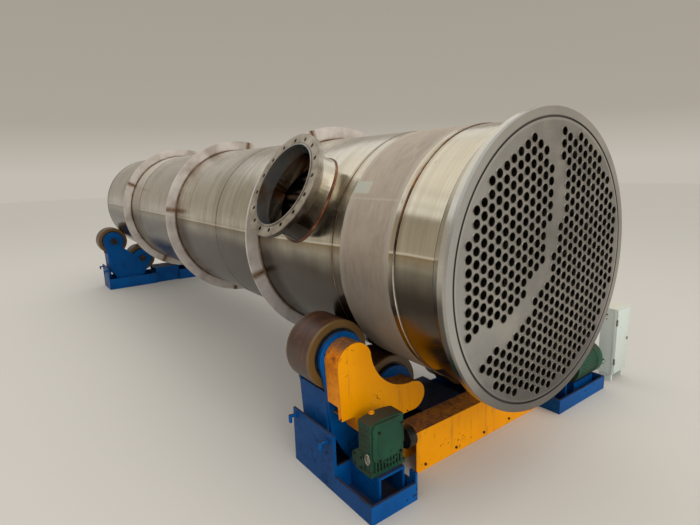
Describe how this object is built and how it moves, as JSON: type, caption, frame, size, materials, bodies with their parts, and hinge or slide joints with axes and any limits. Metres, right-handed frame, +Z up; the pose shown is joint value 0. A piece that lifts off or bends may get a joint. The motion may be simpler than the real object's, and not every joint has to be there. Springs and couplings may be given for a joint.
{
  "type": "shell and tube heat exchanger",
  "caption": "Horizontal shell and tube heat exchanger with an open tube sheet, a flanged side nozzle and stiffener rings, on powered turning rolls.",
  "frame": {"origin": "on the floor under the vessel's axis, at the middle of the drive roll unit, on the underside of its cross beam", "axes": "+X along the vessel towards the front tube sheet, +Y to the right seen from that end, +Z up"},
  "size_m": [5.9865, 2.3153, 1.7198],
  "materials": {
    "stainless_steel": "satin, brushed",
    "ring_steel": "pale, flame cut",
    "blue_paint": "gloss, worn",
    "yellow_paint": "gloss, scuffed",
    "green_paint": "semi-gloss, dusty",
    "roller_tyre": "matt, worn",
    "dark_steel": "oiled",
    "grey_paint": "textured"
  },
  "bodies": {
    "roll_units": {"drive_base_left": "blue_paint", "drive_base_right": "blue_paint", "drive_cross_beam": "blue_paint", "shaft_cover": "yellow_paint", "drive_bogie_left": "blue_paint", "drive_bogie_right": "blue_paint", "gear_guard_left": "yellow_paint", "gear_guard_right": "yellow_paint", "gearbox_left": "green_paint", "gearbox_right": "green_paint", "cross_shaft": "dark_steel", "drive_motor": "green_paint", "control_box": "grey_paint", "idler_base": "blue_paint", "idler_bogie_left": "blue_paint", "idler_bogie_right": "blue_paint"},
    "vessel": {"front_tube_sheet": "stainless_steel", "front_course": "stainless_steel", "nozzle_course": "stainless_steel", "middle_course": "stainless_steel", "rear_course": "stainless_steel", "rear_tube_sheet": "stainless_steel", "tube_bundle": "stainless_steel", "baffle_set": "dark_steel", "stiffener_ring_front": "ring_steel", "stiffener_ring_middle": "ring_steel", "stiffener_ring_rear": "ring_steel", "nozzle_collar": "stainless_steel", "nozzle_flange": "stainless_steel"},
    "drive_roller_left_outer": {"drive_tyre_left_outer": "roller_tyre", "drive_hub_left_outer": "dark_steel"},
    "drive_roller_left_inner": {"drive_tyre_left_inner": "roller_tyre", "drive_hub_left_inner": "dark_steel"},
    "drive_roller_right_outer": {"drive_tyre_right_outer": "roller_tyre", "drive_hub_right_outer": "dark_steel"},
    "drive_roller_right_inner": {"drive_tyre_right_inner": "roller_tyre", "drive_hub_right_inner": "dark_steel"},
    "idler_roller_left_outer": {"idler_tyre_left_outer": "roller_tyre", "idler_hub_left_outer": "dark_steel"},
    "idler_roller_left_inner": {"idler_tyre_left_inner": "roller_tyre", "idler_hub_left_inner": "dark_steel"},
    "idler_roller_right_outer": {"idler_tyre_right_outer": "roller_tyre", "idler_hub_right_outer": "dark_steel"},
    "idler_roller_right_inner": {"idler_tyre_right_inner": "roller_tyre", "idler_hub_right_inner": "dark_steel"}
  },
  "joints": [
    {"name": "vessel_turn", "type": "hinge", "parent": "roll_units", "child": "vessel", "pos_m": [0, 0, 1.05], "axis": [1, 0, 0], "range_deg": [-150, 30]},
    {"name": "drive_roller_left_outer_turn", "type": "hinge", "parent": "roll_units", "child": "drive_roller_left_outer", "pos_m": [-0.037, -0.61734, 0.60965], "axis": [1, 0, 0], "continuous": true},
    {"name": "drive_roller_left_inner_turn", "type": "hinge", "parent": "roll_units", "child": "drive_roller_left_inner", "pos_m": [-0.037, -0.29385, 0.35095], "axis": [1, 0, 0], "continuous": true},
    {"name": "drive_roller_right_outer_turn", "type": "hinge", "parent": "roll_units", "child": "drive_roller_right_outer", "pos_m": [-0.037, 0.61734, 0.60965], "axis": [1, 0, 0], "continuous": true},
    {"name": "drive_roller_right_inner_turn", "type": "hinge", "parent": "roll_units", "child": "drive_roller_right_inner", "pos_m": [-0.037, 0.29385, 0.35095], "axis": [1, 0, 0], "continuous": true},
    {"name": "idler_roller_left_outer_turn", "type": "hinge", "parent": "roll_units", "child": "idler_roller_left_outer", "pos_m": [-5.107, -0.61734, 0.60965], "axis": [1, 0, 0], "continuous": true},
    {"name": "idler_roller_left_inner_turn", "type": "hinge", "parent": "roll_units", "child": "idler_roller_left_inner", "pos_m": [-5.107, -0.29385, 0.35095], "axis": [1, 0, 0], "continuous": true},
    {"name": "idler_roller_right_outer_turn", "type": "hinge", "parent": "roll_units", "child": "idler_roller_right_outer", "pos_m": [-5.107, 0.61734, 0.60965], "axis": [1, 0, 0], "continuous": true},
    {"name": "idler_roller_right_inner_turn", "type": "hinge", "parent": "roll_units", "child": "idler_roller_right_inner", "pos_m": [-5.107, 0.29385, 0.35095], "axis": [1, 0, 0], "continuous": true}
  ],
  "couplings": [
    {"joint": "drive_roller_left_outer_turn", "follows": "vessel_turn", "ratio": -3.5119},
    {"joint": "drive_roller_left_inner_turn", "follows": "vessel_turn", "ratio": -3.5119},
    {"joint": "drive_roller_right_outer_turn", "follows": "vessel_turn", "ratio": -3.5119},
    {"joint": "drive_roller_right_inner_turn", "follows": "vessel_turn", "ratio": -3.5119},
    {"joint": "idler_roller_left_outer_turn", "follows": "vessel_turn", "ratio": -3.5119},
    {"joint": "idler_roller_left_inner_turn", "follows": "vessel_turn", "ratio": -3.5119},
    {"joint": "idler_roller_right_outer_turn", "follows": "vessel_turn", "ratio": -3.5119},
    {"joint": "idler_roller_right_inner_turn", "follows": "vessel_turn", "ratio": -3.5119}
  ]
}
